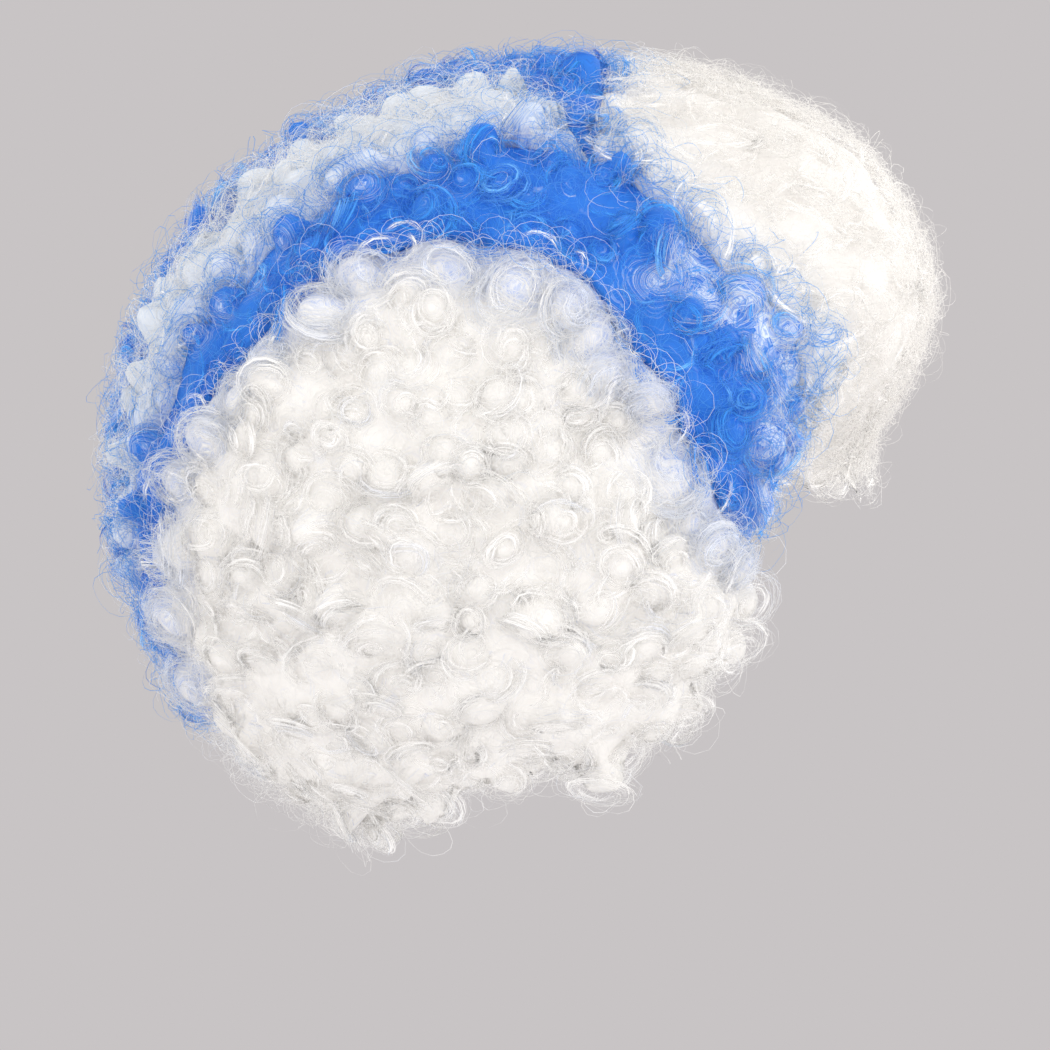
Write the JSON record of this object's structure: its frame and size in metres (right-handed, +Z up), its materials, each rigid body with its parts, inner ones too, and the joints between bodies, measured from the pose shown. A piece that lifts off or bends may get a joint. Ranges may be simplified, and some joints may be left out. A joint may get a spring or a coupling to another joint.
{
  "type": "afro wig",
  "caption": "Round curly costume wig, open under the cap, in sectors of white and blue hair, worn pulled down over the head.",
  "frame": {"origin": "where the top of the head meets the inside of the cap, in the middle plane", "axes": "+Z up along the wearer's height, -Y the way the face looks, -X towards the wearer's right ear"},
  "size_m": [0.285, 0.3032, 0.2877],
  "materials": {
    "net": "open knitted net, matt",
    "white_hair": "curled synthetic fibre, soft sheen",
    "blue_hair": "curled synthetic fibre, soft sheen"
  },
  "bodies": {
    "root": {"cap": "net", "front_white": "white_hair", "crown_blue": "blue_hair", "right_inner_white": "white_hair", "left_inner_white": "white_hair", "right_blue_band": "blue_hair", "left_blue_band": "blue_hair", "right_side_white": "white_hair", "left_side_white": "white_hair"}
  },
  "joints": []
}
